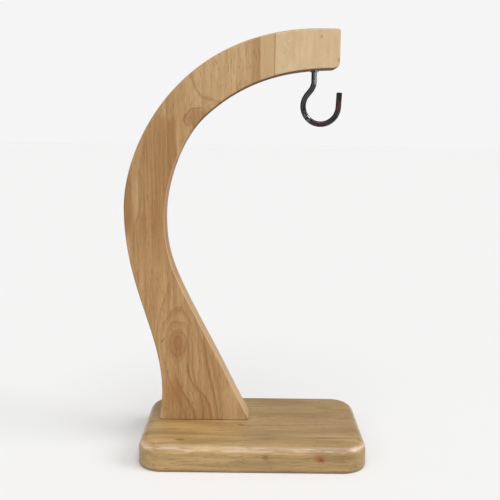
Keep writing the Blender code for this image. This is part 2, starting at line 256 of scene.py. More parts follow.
class Bench:
    # short ways to add nodes to a tree and join them up

    def __init__(self, tree):
        self.tree = tree

    def put(self, socket, value):
        if isinstance(value, Wire):
            self.tree.links.new(value.socket, socket)
        elif isinstance(value, (tuple, list)) and socket.type == "RGBA":
            socket.default_value = (*value, 1.0)
        else:
            socket.default_value = value

    def add(self, kind, inputs=(), output=0, **settings):
        # a new node; inputs go by place or by name, and one output comes back
        node = self.tree.nodes.new(kind)
        for name, value in settings.items():
            setattr(node, name, value)
        for key, value in inputs.items() if isinstance(inputs, dict) else enumerate(inputs):
            self.put(node.inputs[key], value)
        return Wire(self, node.outputs[output])

    def math(self, operation, *values):
        return self.add("ShaderNodeMath", values, operation=operation)

    def move(self, operation, *vectors):
        output = "Value" if operation == "LENGTH" else "Vector"
        return self.add("ShaderNodeVectorMath", vectors, output, operation=operation)

    def ramp(self, value, low, high, toLow=0.0, toHigh=1.0, shape="SMOOTHSTEP"):
        ends = (value, low, high, toLow, toHigh)
        return self.add("ShaderNodeMapRange", ends, interpolation_type=shape)

    def join(self, x, y, z):
        return self.add("ShaderNodeCombineXYZ", (x, y, z))

    def split(self, vector):
        parts = self.add("ShaderNodeSeparateXYZ", (vector,)).socket.node.outputs
        return [Wire(self, part) for part in parts]


class Paint(Bench):
    # a material's nodes, and the color that has been laid on so far

    def __init__(self, name, look):
        self.material = bpy.data.materials.new(name)
        self.material.use_nodes = True
        super().__init__(self.material.node_tree)
        self.shader = self.tree.nodes["Principled BSDF"]
        self.look = look
        self.color = None

    def place(self):
        return self.add("ShaderNodeTexCoord", output="Object")

    def facing(self):
        # how far the surface faces along each axis, from -1 to 1
        return self.split(self.add("ShaderNodeTexCoord", output="Normal"))

    def zone(self, value, name):
        return self.ramp(value, *self.look[name])

    def blots(self, where, size, detail=2.0, roughness=0.5, offset=(0, 0, 0), output="Fac"):
        # noise whose blots have about the size given along each axis
        scaled = self.move("MULTIPLY", where, tuple(1 / s for s in size))
        inputs = {"Scale": 1.0, "Detail": detail, "Roughness": roughness}
        inputs["Vector"] = self.move("ADD", scaled, offset)
        return self.add("ShaderNodeTexNoise", inputs, output)

    def noise(self, where, name):
        return self.blots(where, *self.look[name])

    def warped(self, where, name):
        # coordinates pushed about by up to half the warp's push
        size, amount, offset = self.look[name]
        noise = self.blots(where, size, offset=offset, output="Color")
        push = self.move("SUBTRACT", noise, (0.5, 0.5, 0.5))
        return self.move("ADD", where, self.move("MULTIPLY", push, amount))

    def mix(self, share, first, second, blend="MIX"):
        inputs = {0: share, 6: first, 7: second}
        return self.add("ShaderNodeMix", inputs, 2, data_type="RGBA", blend_type=blend)

    def lay(self, tint, share=1.0):
        # a color, or the name of one in the look, over what is there
        tint = self.look[tint] if isinstance(tint, str) else tint
        self.color = self.mix(share, self.color, tint) if self.color else tint

    def shade(self, amount):
        grey = self.join(amount, amount, amount)
        self.color = self.mix(1.0, self.color, grey, "MULTIPLY")

    def fromSpot(self, where, place, size, turn=0.0):
        # distance from a spot's middle, 1 on its rim; turn is about Y, in degrees
        turned = (0, math.radians(turn), 0)
        inputs = {"Vector": where, "Location": place, "Rotation": turned, "Scale": size}
        return self.move("LENGTH", self.add("ShaderNodeMapping", inputs, vector_type="TEXTURE"))

    def spot(self, where, place, size, turn=0.0, core=0.0):
        # 1 inside the core's share of the size, falling to 0 at the rim
        return self.ramp(self.fromSpot(where, place, size, turn), core, 1.0, 1.0, 0.0)

    def mark(self, where, name):
        return self.spot(where, *self.look[name])

    def curve(self, value, points):
        # a smooth function of a value, through points given from 0 to 1
        made = self.add("ShaderNodeFloatCurve", {"Value": value})
        mapping = made.socket.node.mapping
        line = mapping.curves[0].points
        for x, y in points[1:-1]:
            line.new(x, y)
        for target, spot in zip(line, points):
            target.location = spot
        mapping.update()
        return made

    def bump(self, height, strength, depth):
        inputs = {"Height": height, "Strength": strength, "Distance": depth}
        self.put(self.shader.inputs["Normal"], self.add("ShaderNodeBump", inputs))

    def finish(self, roughness, **fixed):
        self.put(self.shader.inputs["Base Color"], self.color)
        self.put(self.shader.inputs["Roughness"], roughness)
        for name, value in fixed.items():
            self.put(self.shader.inputs[name.replace("_", " ")], value)
        return self.material


# Arm wood: plain sawn, grain upright, a knot low down and brown heartwood at the bend.
# In every look a noise is (blot size along x, y and z, detail, roughness, offset), a warp is (blot size,
# push, offset), a zone is (where it is 0, where it is 1) or those and both values, and a mark is (place,
# size, turn, core).

armWoodLook = {
    "light": (0.545, 0.365, 0.190),
    "pale": (0.490, 0.305, 0.140),
    "tan": (0.395, 0.225, 0.092),
    "brown": (0.310, 0.152, 0.052),
    "deep": (0.170, 0.074, 0.026),
    "red": (0.330, 0.140, 0.046),
    # painted highlight colour, laid on the arris, on the side face turned to the right and on the foot's
    # two corners
    "edgeHighlight": (0.640, 0.450, 0.270),
    "endGrain": (0.215, 0.115, 0.050),
    # end grain with painted shade: the colour laid on faces turned down
    "underside": (0.100, 0.046, 0.018),
    "roughness": 0.52,
    "underRoughness": 0.95,
    "shine": 0.28,
    "relief": (0.35, 0.00012),           # strength, depth

    # the grain's field
    "sway": ((0.012, 0.02, 0.035), (0.0022, 0.0, 0.0030), (3, 7, 5)),
    "quiver": ((0.003, 0.006, 0.012), (0.0008, 0.0, 0.0012), (8, 2, 6)),
    "fieldQuiver": ((0.005, 0.02, 0.006), (0.0018, 0.0, 0.0016), (4, 8, 1)),
    "knotPlace": (-0.0582, 0.0834),      # x, z
    "archHeight": 0.020,                 # how tall the arches over the knot grow
    "archSteepness": 0.75,
    "footSway": ((-0.050, boardLow.y, 0.05), (0.026, 1, 1)),
    "footSwayHeights": (0.064, 0.026, 0.0, 0.0125),
    "footSwayShares": (0.65, 0.42),      # near the sway's middle, and everywhere
    "waistSwayHeights": (0.100, 0.055, 0.0, 0.0035),
    "depthSlope": 0.30,                  # how far the rings lean into the board
    "eye": ((-0.0445, boardLow.y, 0.2555), (0.021, 1, 0.019)),
    "eyePush": 0.0085,

    # growth rings
    "ringStep": 0.0038,
    "fieldStretch": 0.15,                # how little the rings change on the way up
    "ringSharpness": 2.6,
    "ringDrift": ((0.016, 0.03, 0.09), 2, 0.5, (1, 9, 3)),
    "ringUneven": ((0.0060, 0.02, 1), 2, 0.6, (2, 0, 0)),
    "ringShares": (1.6, 2.6),            # of the drift and of the unevenness
    "ringDarkness": ((0.0050, 0.012, 1), 2, 0.5, (7, 0, 0)),
    "ringDarkZone": (0.36, 0.62, 0.25, 1.0),
    "ringHeights": (0.112, 0.150, 1.0, 0.25),
    "paleZone": (-0.35, 0.35),
    "lightHeights": (0.235, 0.300),
    "lightAcross": (-0.075, -0.035, 0.10, 0.62),
    "heelAcross": (-0.036, -0.018),
    "heelHeights": (0.070, 0.035),
    # painted highlights on the foot's two rounded lower corners
    "leftCornerHighlight": ((-0.0722, boardLow.y, boardLow.z), (0.0030, 0.02, 0.016), 0, 0.2),
    "rightCornerHighlight": ((-0.0022, boardLow.y, boardLow.z), (0.0030, 0.02, 0.012), 0, 0.2),

    # heartwood at the bend
    "heartTall": 0.33,                   # height and width that its left edge's curve covers
    "heartWide": 0.1,
    "heartLeft": (
        (0.0, 0.02), (0.40, 0.04), (0.465, 0.085), (0.52, 0.10), (0.57, 0.14), (0.665, 0.15),
        (0.716, 0.17), (0.776, 0.226), (1.0, 0.3),
    ),
    "heartRough": ((0.0016, 0.01, 0.030), 3, 0.6, (5, 5, 1)),
    "heartWave": ((0.03, 0.03, 0.014), 2, 0.6, (2, 5, 7)),
    "heartShifts": (0.0025, 0.0035),     # by the roughness and by the wave
    "heartLeftZone": (-0.0002, 0.0013),
    "heartRight": (0.206, 0.226, -0.02, -0.0585),
    "heartRightZone": (-0.0004, 0.0012),
    "heartRagged": ((0.0022, 0.02, 0.5), 2, 0.6, (2, 3, 2)),
    "heartTop": (0.016, 0.2505),         # raggedness, height
    "heartTopZone": (-0.001, 0.004),
    "heartHeights": (0.118, 0.185, 0.12, 1.0),
    "heartBands": ((0.0026, 0.02, 0.12), 2, 0.55, (3, 1, 1)),
    "heartBandZone": (0.32, 0.60, 0.45, 1.0),
    "rimZone": (0.0, 0.0030, 1.0, 0.0),
    "rimLow": (0.135, 0.160),
    "rimHigh": (0.262, 0.235),
    "backAcross": (-0.0905, -0.0945),
    "backLow": (0.155, 0.180),
    "backHigh": (0.232, 0.212),
    "shoulderAcross": (-0.050, -0.078),
    "shoulderHeights": (0.228, 0.262),

    # marks
    "knotStain": ((-0.0577, boardLow.y, 0.0804), (0.0098, 0.05, 0.0165), 0, 0.35),
    "knotCurl": ((0.004, 0.02, 0.004), (0.0022, 0.0, 0.0022), (6, 2, 2)),
    "knotRing": (0.0036, 0.04, 0.0056),
    "knotSharpness": 2.0,
    "knotReach": (2.2, 2.8, 1.0, 0.0),
    "redPatch": ((-0.0625, boardLow.y, 0.0430), (0.012, 0.04, 0.017), -18, 0.1),
    "darkDash": ((-0.0705, boardLow.y, 0.0856), (0.0009, 0.01, 0.0032), 42, 0.3),
    "ringSwing": ((0.0065, 0.02, 0.0065), (0.0065, 0.0, 0.0065), (1, 4, 4)),
    "ringSide": (-0.1, 0.75, 0.12, 1.0),
    "ringFill": (1.0, 0.7),
    "lastRing": 0.0108,                  # from the glue joint
    "lastRingFade": (-0.013, 0.0),
    "lastRingEdge": (0.0005, -0.0002),
    "sliverZone": (0.0, 0.0006),
    "glueZone": (0.0, 0.00045, 1.0, 0.0),

    # streaks
    "streakShare": 0.52,
    "sliverQuiet": (0.0, 1.0, 1.0, 0.35),
    "stripes": ((0.0008, 0.004, 0.011), 2, 0.5, (6, 3, 9)),
    "stripeZone": (0.60, 0.70),
    "busyHeights": (0.235, 0.262),
    "busyAcross": (-0.052, -0.040),
    "crownLow": (0.232, 0.248),
    "crownHigh": (0.276, 0.262),
    "stripeShares": (0.36, 0.14),        # where it is busy, and everywhere

    # faces turned up, down and to the sides
    "endDots": ((0.0006, 0.0006, 0.01), 2, 0.6),
    "endDotZone": (0.35, 0.7),
    "endZone": (0.30, 0.95, 0.0, 0.85),
    # painted shade: faces turned down take the dark underside colour
    "underZone": (-0.42, -0.90, 0.0, 0.94),
    "dullZone": (-0.2, -0.7),
    # painted highlight: where the arris and the right side face would catch the light
    "arrisFront": (-0.93, -0.80),
    "arrisBack": (-0.15, -0.55),
    "arrisSide": (0.15, 0.40),
    "sideHighlightZone": (0.45, 0.80),
    "sideHighlightHeights": (0.150, 0.110),
}

# dark lines of the grain below the knot: (strength, half width, points going up as x, z)
armVeins = (
    (0.95, 0.0014, (
        (-0.0315, 0.022), (-0.0360, 0.039), (-0.0419, 0.045), (-0.0493, 0.057), (-0.0508, 0.076))),
    (0.75, 0.0010, (
        (-0.0385, 0.022), (-0.0397, 0.040), (-0.0434, 0.049), (-0.0464, 0.060), (-0.0465, 0.088))),
    (0.95, 0.0015, ((-0.0268, 0.022), (-0.0315, 0.051), (-0.0352, 0.068), (-0.0388, 0.094))),
    (0.75, 0.0012, ((-0.0228, 0.022), (-0.0290, 0.060), (-0.0335, 0.082))),
    (0.85, 0.0015, (
        (-0.0445, 0.022), (-0.0486, 0.035), (-0.0538, 0.043), (-0.0589, 0.054), (-0.0610, 0.064))),
    (0.55, 0.0012, (
        (-0.0520, 0.022), (-0.0560, 0.034), (-0.0620, 0.046), (-0.0665, 0.060), (-0.0690, 0.078))),
)

veinShape = {
    "tall": 0.12,             # the part of the arm that the curves cover, up and to the left
    "wide": 0.08,
    "softSide": -2.4,         # how far each side of a line reaches, in half widths
    "sharpSide": 0.5,
    "topFade": 0.012,
    "footFade": 0.010,
}

# two ring edges that come up to the face higher on the arm: (place, size, the way its dark side looks,
# how full its middle is, how thick the edge is, how dark it is)
armArches = (
    ((-0.0430, boardLow.y, 0.2545), (0.0095, 0.05, 0.0086), (-0.7, 0.7), 0.60, 0.15, 0.62),
    ((-0.0290, boardLow.y, 0.2865), (0.0186, 0.05, 0.0186), (-0.75, -0.66), 0.0, 0.11, 0.34),
)

# streaks that every wood has: (thickness, length, detail, roughness, offset, share)
streakLook = (
    (0.0034, 0.075, 3, 0.6, (0, 0, 0), 0.9),
    (0.00085, 0.021, 3, 0.65, (4, 1, 8), 0.7),
    (0.00032, 0.0085, 2, 0.6, (9, 5, 2), 0.45),
)

poreLook = {
    "thickness": 0.00055,
    "length": 0.0052,
    "offset": (2, 6, 4),
    "zone": (0.64, 0.74),
}


def fibres(paint, where, along):
    # fine streaks and pores that run along one axis; returns (streaks, pores)
    def drawn(thin, long):
        return tuple(long if axis == along else thin for axis in range(3))

    streaks = None
    for thin, long, detail, roughness, offset, share in streakLook:
        part = (paint.blots(where, drawn(thin, long), detail, roughness, offset) - 0.5) * share
        streaks = streaks + part if streaks else part
    dashes = drawn(poreLook["thickness"], poreLook["length"])
    pores = paint.ramp(paint.blots(where, dashes, 1, 0.4, poreLook["offset"]), *poreLook["zone"])
    return streaks, pores


def armGrainField(paint, where):
    # distance from the knot's upright axis, bent by the knot and by the sway of the grain below it
    look = armWoodLook
    x, y, z = paint.split(where)
    knotX, knotZ = look["knotPlace"]
    above = paint.math("MAXIMUM", z - knotZ, 0.0)
    nearShare, share = look["footSwayShares"]
    footSway = paint.zone(z, "footSwayHeights") * (paint.mark(where, "footSway") * nearShare + share)
    across = x - knotX - (footSway + paint.zone(z, "waistSwayHeights"))
    across = across + (y - boardLow.y) * look["depthSlope"]
    arch = look["archHeight"]
    rise = (1.0 - paint.math("EXPONENT", above * (-look["archSteepness"] / arch))) * arch
    away = paint.math("SQRT", across * across + rise * rise)
    return away + paint.mark(where, "eye") * look["eyePush"]


def veins(paint, x, z, lines):
    # grain lines, each dark along one sharp side and fading off on the other and at its ends
    shape = veinShape
    tall, wide = shape["tall"], shape["wide"]
    share = z / tall
    total = 0.0
    for strength, half, points in lines:
        spots = [(pz / tall, 1 + px / wide) for px, pz in points]
        middle = paint.curve(share, [(0.0, spots[0][1])] + spots + [(1.0, spots[-1][1])])
        off = x - (middle * wide - wide)
        line = paint.ramp(off, shape["softSide"] * half, 0.0)
        line = line * paint.ramp(off, 0.0, shape["sharpSide"] * half, strength, 0.0)
        low, high = points[0][1], points[-1][1]
        line = line * paint.ramp(z, high, high - shape["topFade"])
        total = paint.math("MAXIMUM", total, line * paint.ramp(z, low - shape["footFade"], low))
    return total


def growthRings(paint, where, z):
    # rings of uneven width: a slow climb to the dark edge, then a sharp drop
    look = armWoodLook
    field = armGrainField(paint, paint.warped(where, "fieldQuiver"))
    alongField = paint.join(field, z * look["fieldStretch"], 0.0)
    driftShare, unevenShare = look["ringShares"]
    phase = field / look["ringStep"] + paint.noise(where, "ringDrift") * driftShare
    phase = phase + paint.noise(alongField, "ringUneven") * unevenShare
    ring = paint.math("POWER", paint.math("FRACT", phase), look["ringSharpness"])
    ring = ring * paint.zone(paint.noise(alongField, "ringDarkness"), "ringDarkZone")
    return ring * paint.zone(z, "ringHeights")


def layHeartwood(paint, here, where, x, z):
    # brown between a wavering left edge and a sharp right one
    look = armWoodLook
    wide = look["heartWide"]
    roughShift, waveShift = look["heartShifts"]
    leftEdge = paint.curve(z / look["heartTall"], look["heartLeft"]) * wide - wide
    leftEdge = leftEdge + (paint.noise(here, "heartWave") - 0.5) * waveShift
    past = x - (leftEdge + paint.noise(here, "heartRough") * roughShift)
    inside = paint.zone(past, "heartLeftZone")
    inside = inside * paint.zone(paint.zone(z, "heartRight") - x, "heartRightZone")
    ragged, top = look["heartTop"]
    inside = inside * paint.zone(paint.noise(here, "heartRagged") * ragged + top - z, "heartTopZone")
    inside = inside * paint.zone(z, "heartHeights")
    inside = inside * paint.zone(paint.noise(where, "heartBands"), "heartBandZone")
    paint.lay("brown", inside * 0.86)
    rim = paint.zone(paint.math("ABSOLUTE", x - leftEdge), "rimZone")
    paint.lay("deep", rim * paint.zone(z, "rimLow") * paint.zone(z, "rimHigh") * 0.42)
    back = paint.zone(x, "backAcross") * paint.zone(z, "backLow") * paint.zone(z, "backHigh")
    paint.lay("brown", back * 0.80)
    paint.lay("deep", back * 0.16)
    paint.lay("tan", paint.zone(x, "shoulderAcross") * paint.zone(z, "shoulderHeights") * 0.55)


def layArmMarks(paint, here, where, x, z):
    # the knot, the marks round it, and the arches higher up
    look = armWoodLook
    knotX, knotZ = look["knotPlace"]
    paint.lay("red", paint.mark(where, "knotStain") * 0.62)
    curled = paint.warped(where, "knotCurl")
    eyes = paint.fromSpot(curled, (knotX, boardLow.y, knotZ), look["knotRing"])
    oval = paint.math("POWER", paint.math("FRACT", eyes), look["knotSharpness"])
    paint.lay("deep", oval * paint.zone(eyes, "knotReach") * 0.36)
    paint.lay("red", paint.mark(where, "redPatch") * 0.50)
    paint.lay("deep", paint.mark(where, "darkDash") * 0.75)

    swung = paint.warped(here, "ringSwing")
    for place, size, lean, fill, thick, depth in armArches:
        out = paint.fromSpot(swung, place, size)
        line = paint.ramp(paint.math("ABSOLUTE", out - 1.0), 0.0, thick, 1.0, 0.0)
        toward = (x - place[0]) * (lean[0] / size[0]) + (z - place[2]) * (lean[1] / size[2])
        paint.lay("brown", paint.zone(out, "ringFill") * fill)
        paint.lay("deep", line * paint.zone(toward, "ringSide") * depth)


def laySawnEndsAndShade(paint, here, faceZ):
    # end grain colour on faces turned up, where the saw crossed the fibres; faces turned down get the
    # dark underside colour, end grain with painted shade
    look = paint.look
    dots = paint.zone(paint.noise(here, "endDots"), "endDotZone")
    paint.lay(paint.mix(dots, look["endGrain"], look["brown"]), paint.zone(faceZ, "endZone"))
    # painted shade: faces turned down go dark
    paint.lay("underside", paint.zone(faceZ, "underZone"))
    return paint.ramp(faceZ, *look["dullZone"], look["roughness"], look["underRoughness"])


def makeArmWood():
    look = armWoodLook
    paint = Paint("armWood", look)
    here = paint.place()
    where = paint.warped(paint.warped(here, "sway"), "quiver")
    x, _, z = paint.split(where)
    streaks, pores = fibres(paint, where, 2)

    paint.lay("tan")
    paint.lay("pale", paint.zone(streaks, "paleZone"))
    paint.lay("light", paint.zone(z, "lightHeights") * paint.zone(x, "lightAcross"))
    paint.lay("brown", growthRings(paint, where, z) * 0.75)
    paint.lay("brown", veins(paint, x, z, armVeins))
    paint.lay("light", paint.zone(x, "heelAcross") * paint.zone(z, "heelHeights") * 0.55)
    # painted highlights on the foot's two rounded lower corners
    paint.lay("edgeHighlight", paint.mark(where, "leftCornerHighlight") * 0.60)
    paint.lay("edgeHighlight", paint.mark(where, "rightCornerHighlight") * 0.60)
    layHeartwood(paint, here, where, x, z)
    layArmMarks(paint, here, where, x, z)

    # the last dark ring before the glue joint, and the joint
    lastRing = x - (jointX - look["lastRing"])
    paint.lay("brown", paint.zone(lastRing, "lastRingFade") * paint.zone(lastRing, "lastRingEdge") * 0.55)
    sliver = paint.zone(lastRing, "sliverZone")
    paint.lay("light", sliver * 0.55)
    paint.lay("deep", paint.zone(jointX - paint.split(here)[0], "glueZone") * 0.65)

    # streaks and pores, strongest on the upper arm
    quiet = paint.zone(sliver, "sliverQuiet")
    paint.shade(streaks * quiet * look["streakShare"] + 1.0)
    paint.lay("deep", pores * quiet * 0.48)
    stripes = paint.zone(paint.noise(where, "stripes"), "stripeZone") * quiet
    busy = paint.zone(z, "busyHeights") * paint.zone(x, "busyAcross")
    busy = paint.math("MAXIMUM", busy, paint.zone(z, "crownLow") * paint.zone(z, "crownHigh"))
    busyShare, share = look["stripeShares"]
    paint.lay("deep", stripes * (busy * busyShare + share))

    # sawn ends with painted shade beneath, and painted highlights on the arris and on the side turned to
    # the right
    faceX, faceY, faceZ = paint.facing()
    dull = laySawnEndsAndShade(paint, here, faceZ)
    arrisHighlight = paint.zone(faceY, "arrisFront") * paint.zone(faceY, "arrisBack")
    arrisHighlight = arrisHighlight * paint.zone(faceX + faceZ, "arrisSide")
    side = paint.zone(faceX, "sideHighlightZone") * paint.zone(z, "sideHighlightHeights")
    paint.lay("edgeHighlight", paint.math("MAXIMUM", arrisHighlight * 0.50, side * 0.34))
    paint.bump(streaks * 0.5 + pores * -0.6, *look["relief"])
    return paint.finish(streaks * -0.10 + dull, Specular_IOR_Level=look["shine"])


# Tip block wood: the palest piece, nearly plain

tipWoodLook = {
    "pale": (0.660, 0.490, 0.300),
    "tan": (0.560, 0.390, 0.220),
    "brown": (0.36, 0.20, 0.085),
    "glint": (0.86, 0.72, 0.54),
    "endGrain": (0.300, 0.175, 0.085),
    # end grain with painted shade: the colour laid on faces turned down
    "underside": (0.115, 0.055, 0.022),
    "roughness": 0.52,
    "underRoughness": 0.95,
    "shine": 0.28,
    "relief": (0.3, 0.0001),
    "sway": ((0.007, 0.02, 0.012), (0.0024, 0.0, 0.0030), (3, 7, 5)),
    "paleZone": (-0.75, 0.55),
    "veil": ((0.010, 0.03, 0.016), 3, 0.55, (6, 2, 9)),
    "veilZone": (0.40, 0.64, 0.0, 0.6),
    "fleckSlant": 24,                    # degrees
    "flecks": ((0.0008, 0.004, 0.0030), 1, 0.4, (3, 3, 3)),
    "fleckZone": (0.66, 0.74),
    "glints": ((0.0011, 0.004, 0.0042), 1, 0.4, (7, 1, 5)),
    "glintZone": (0.62, 0.72),
    "glintAcross": (jointX + 0.020, jointX + 0.004),
    "glintHeights": (0.300, 0.312, 0.15, 0.7),
    "upperMark": ((0.0470, tipLow.y, 0.3142), (0.0010, 0.006, 0.0015), 0, 0.3),
    "lowerMark": ((0.0597, tipLow.y, 0.2982), (0.0011, 0.006, 0.0022), 0, 0.3),
    "glueZone": (0.0, 0.00045, 1.0, 0.0),
    "endDots": ((0.0006, 0.0006, 0.01), 2, 0.6),
    "endDotZone": (0.35, 0.7),
    "endZone": (0.30, 0.95, 0.0, 0.85),
    "underZone": (-0.25, -0.80, 0.0, 0.94),
    "dullZone": (-0.2, -0.7),
}


def makeTipWood():
    look = tipWoodLook
    paint = Paint("tipWood", look)
    here = paint.place()
    where = paint.warped(here, "sway")
    x, _, z = paint.split(where)
    streaks, pores = fibres(paint, where, 2)
    paint.lay("tan")
    paint.lay("pale", paint.zone(streaks, "paleZone"))
    paint.lay("tan", paint.zone(paint.noise(where, "veil"), "veilZone"))

    # little slanting flecks, some dark and some pale
    turned = (0, math.radians(look["fleckSlant"]), 0)
    slant = paint.add("ShaderNodeMapping", {"Vector": here, "Rotation": turned})
    flecks = paint.zone(paint.noise(slant, "flecks"), "fleckZone")
    glints = paint.zone(paint.noise(slant, "glints"), "glintZone")
    paint.lay("brown", flecks * 0.36)
    paint.lay("glint", glints * paint.zone(x, "glintAcross") * paint.zone(z, "glintHeights"))
    paint.lay("brown", paint.mark(where, "upperMark") * 0.80)
    paint.lay("brown", paint.mark(where, "lowerMark") * 0.80)
    paint.lay("brown", paint.zone(paint.split(here)[0] - jointX, "glueZone") * 0.60)

    paint.shade(streaks * 0.15 + 1.0)
    paint.lay("brown", pores * 0.18)
    _, _, faceZ = paint.facing()
    dull = laySawnEndsAndShade(paint, here, faceZ)
    paint.bump(streaks * 0.4 + pores * -0.4, *look["relief"])
    return paint.finish(streaks * -0.08 + dull, Specular_IOR_Level=look["shine"])


# Base wood: grain along the length, under a satin varnish

baseWoodLook = {
    "pale": (0.455, 0.305, 0.136),
    "tan": (0.335, 0.208, 0.082),
    "honey": (0.500, 0.320, 0.130),
    "olive": (0.255, 0.160, 0.056),
    "deep": (0.115, 0.058, 0.022),
    "mark": (0.185, 0.118, 0.036),
    "red": (0.330, 0.110, 0.036),
    # painted highlight colour for the rounded top edge
    "paintedSheen": (0.760, 0.560, 0.440),
    "roughness": 0.42,
    "shine": 0.40,
    "varnish": 0.22,
    "varnishRoughness": 0.22,
    "relief": (0.28, 0.0001),
    "sway": ((0.050, 0.010, 0.010), (0.0040, 0.0022, 0.0022), (3, 7, 5)),
    "paleZone": (-0.42, 0.38),
    "honeyAcross": (0.010, -0.045),
    "honeyDeep": (0.020, -0.020),
    "dullAcross": (-0.020, 0.040),
    "dullDeep": (-0.045, -0.015),
    "wash": ((0.075, 0.016, 0.012), 2, 0.5, (2, 8, 4)),
    "washZone": (0.42, 0.66, 0.0, 0.7),
    "ringSteps": (0.0105, 0.0085),       # along y and z
    "ringDrift": ((0.10, 0.02, 0.02), 2, 0.5, (5, 4, 1)),
    "ringDriftShare": 3.0,
    "ringSharpness": 4.0,
    "longStreaks": ((0.016, 0.00075, 0.00075), 2, 0.55, (1, 2, 8)),
    "longZone": (0.60, 0.70),
    "markCore": 0.25,
    "endDots": ((0.01, 0.0006, 0.0006), 2, 0.6),
    "endDotZone": (0.35, 0.7),
    "endZone": (0.45, 0.98, 0.0, 0.55),
    "underZone": (-0.3, -0.9, 0.0, 0.35),
    # painted shade under the base
    "footShadeHeights": (0.0034, 0.0008, 0.0, 0.50),
    "footShadeFacing": (-0.95, -0.80),
    # painted highlight band on the rounded top edge and its front corners
    "highlightBandLow": (0.30, 0.50),
    "highlightBandHigh": (0.84, 0.62),
    "highlightCornerSide": (0.20, 0.45),
    "highlightCornerFront": (0.0, -0.3),
    "cornerHighlightShare": 0.34,
    "patchyHighlight": ((0.020, 0.006, 0.0016), 3, 0.6, (4, 2, 7)),
    "patchyHighlightZone": (0.42, 0.60, 0.03, 0.40),
}

# (place, size, turn, share, color)
baseMarks = (
    ((-0.0537, -0.0420, baseHigh.z), (0.0056, 0.0028, 0.004), 0, 0.80, "mark"),
    ((-0.0090, -0.0137, baseHigh.z), (0.0040, 0.0024, 0.004), 0, 0.80, "mark"),
    ((0.0587, 0.0239, baseHigh.z), (0.0090, 0.0025, 0.004), 0, 0.70, "mark"),
    ((0.0095, 0.0040, baseHigh.z), (0.0110, 0.0030, 0.004), 0, 0.50, "mark"),
    ((0.0505, -0.0370, baseHigh.z), (0.0300, 0.0008, 0.004), 0, 0.75, "deep"),
    ((0.0092, baseLow.y, 0.0117), (0.0034, 0.004, 0.0032), 0, 0.70, "mark"),
    ((0.0495, baseLow.y, 0.0116), (0.0062, 0.005, 0.0040), 18, 0.95, "red"),
    ((0.0502, baseLow.y, 0.0110), (0.0026, 0.004, 0.0016), 18, 0.80, "deep"),
)


def makeBaseWood():
    look = baseWoodLook
    paint = Paint("baseWood", look)
    here = paint.place()
    where = paint.warped(here, "sway")
    x, y, z = paint.split(where)
    streaks, pores = fibres(paint, where, 0)
    paint.lay("tan")
    paint.lay("pale", paint.zone(streaks, "paleZone"))
    paint.lay("honey", paint.zone(x, "honeyAcross") * paint.zone(y, "honeyDeep") * 0.60)
    paint.lay("olive", paint.zone(x, "dullAcross") * paint.zone(y, "dullDeep") * 0.32)
    paint.lay("olive", paint.zone(paint.noise(where, "wash"), "washZone"))
    stepY, stepZ = look["ringSteps"]
    rings = y / stepY + z / stepZ + paint.noise(where, "ringDrift") * look["ringDriftShare"]
    ring = paint.math("POWER", paint.math("FRACT", rings), look["ringSharpness"])
    paint.lay("olive", ring * 0.42)
    paint.lay("deep", paint.zone(paint.noise(where, "longStreaks"), "longZone") * 0.52)
    for place, size, turn, share, tint in baseMarks:
        paint.lay(tint, paint.spot(where, place, size, turn, look["markCore"]) * share)

    paint.shade(streaks * 0.40 + 1.0)
    paint.lay("deep", pores * 0.62)
    faceX, faceY, faceZ = paint.facing()
    endways = paint.math("ABSOLUTE", faceX)
    dots = paint.zone(paint.noise(here, "endDots"), "endDotZone")
    paint.lay(paint.mix(dots, look["olive"], look["tan"]), paint.zone(endways, "endZone"))
    paint.lay("tan", paint.zone(faceZ, "underZone"))
    # painted shade on the faces turned down at the very bottom of the base
    paint.lay("deep", paint.zone(z, "footShadeHeights") * paint.zone(faceZ, "footShadeFacing"))

    # painted highlight: a pale sheen laid on the rounded top edge by the way it faces, strongest at the
    # two front corners
    highlightBand = paint.zone(faceZ, "highlightBandLow") * paint.zone(faceZ, "highlightBandHigh")
    corner = paint.zone(endways, "highlightCornerSide") * paint.zone(faceY, "highlightCornerFront")
    patchyHighlight = paint.zone(paint.noise(where, "patchyHighlight"), "patchyHighlightZone")
    paint.lay("paintedSheen", highlightBand * (corner * look["cornerHighlightShare"] + patchyHighlight))

    paint.bump(streaks * 0.5 + pores * -0.6, *look["relief"])
    varnish = {"Coat_Weight": look["varnish"], "Coat_Roughness": look["varnishRoughness"]}
    gloss = streaks * -0.12 + look["roughness"]
    return paint.finish(gloss, Specular_IOR_Level=look["shine"], **varnish)


# Steels: a dark hook with rust and painted highlights, its collar, and bright wood screws

steelLook = {
    "black": (0.026, 0.024, 0.027),
    "dark": (0.066, 0.064, 0.078),
    "grey": (0.150, 0.150, 0.156),
    # bright plating on the screws; on the hook and the collar it is laid as painted highlights
    "platingAndHighlight": (0.860, 0.870, 0.830),
    "brass": (0.500, 0.440, 0.280),
    "rust": (0.062, 0.014, 0.012),
}

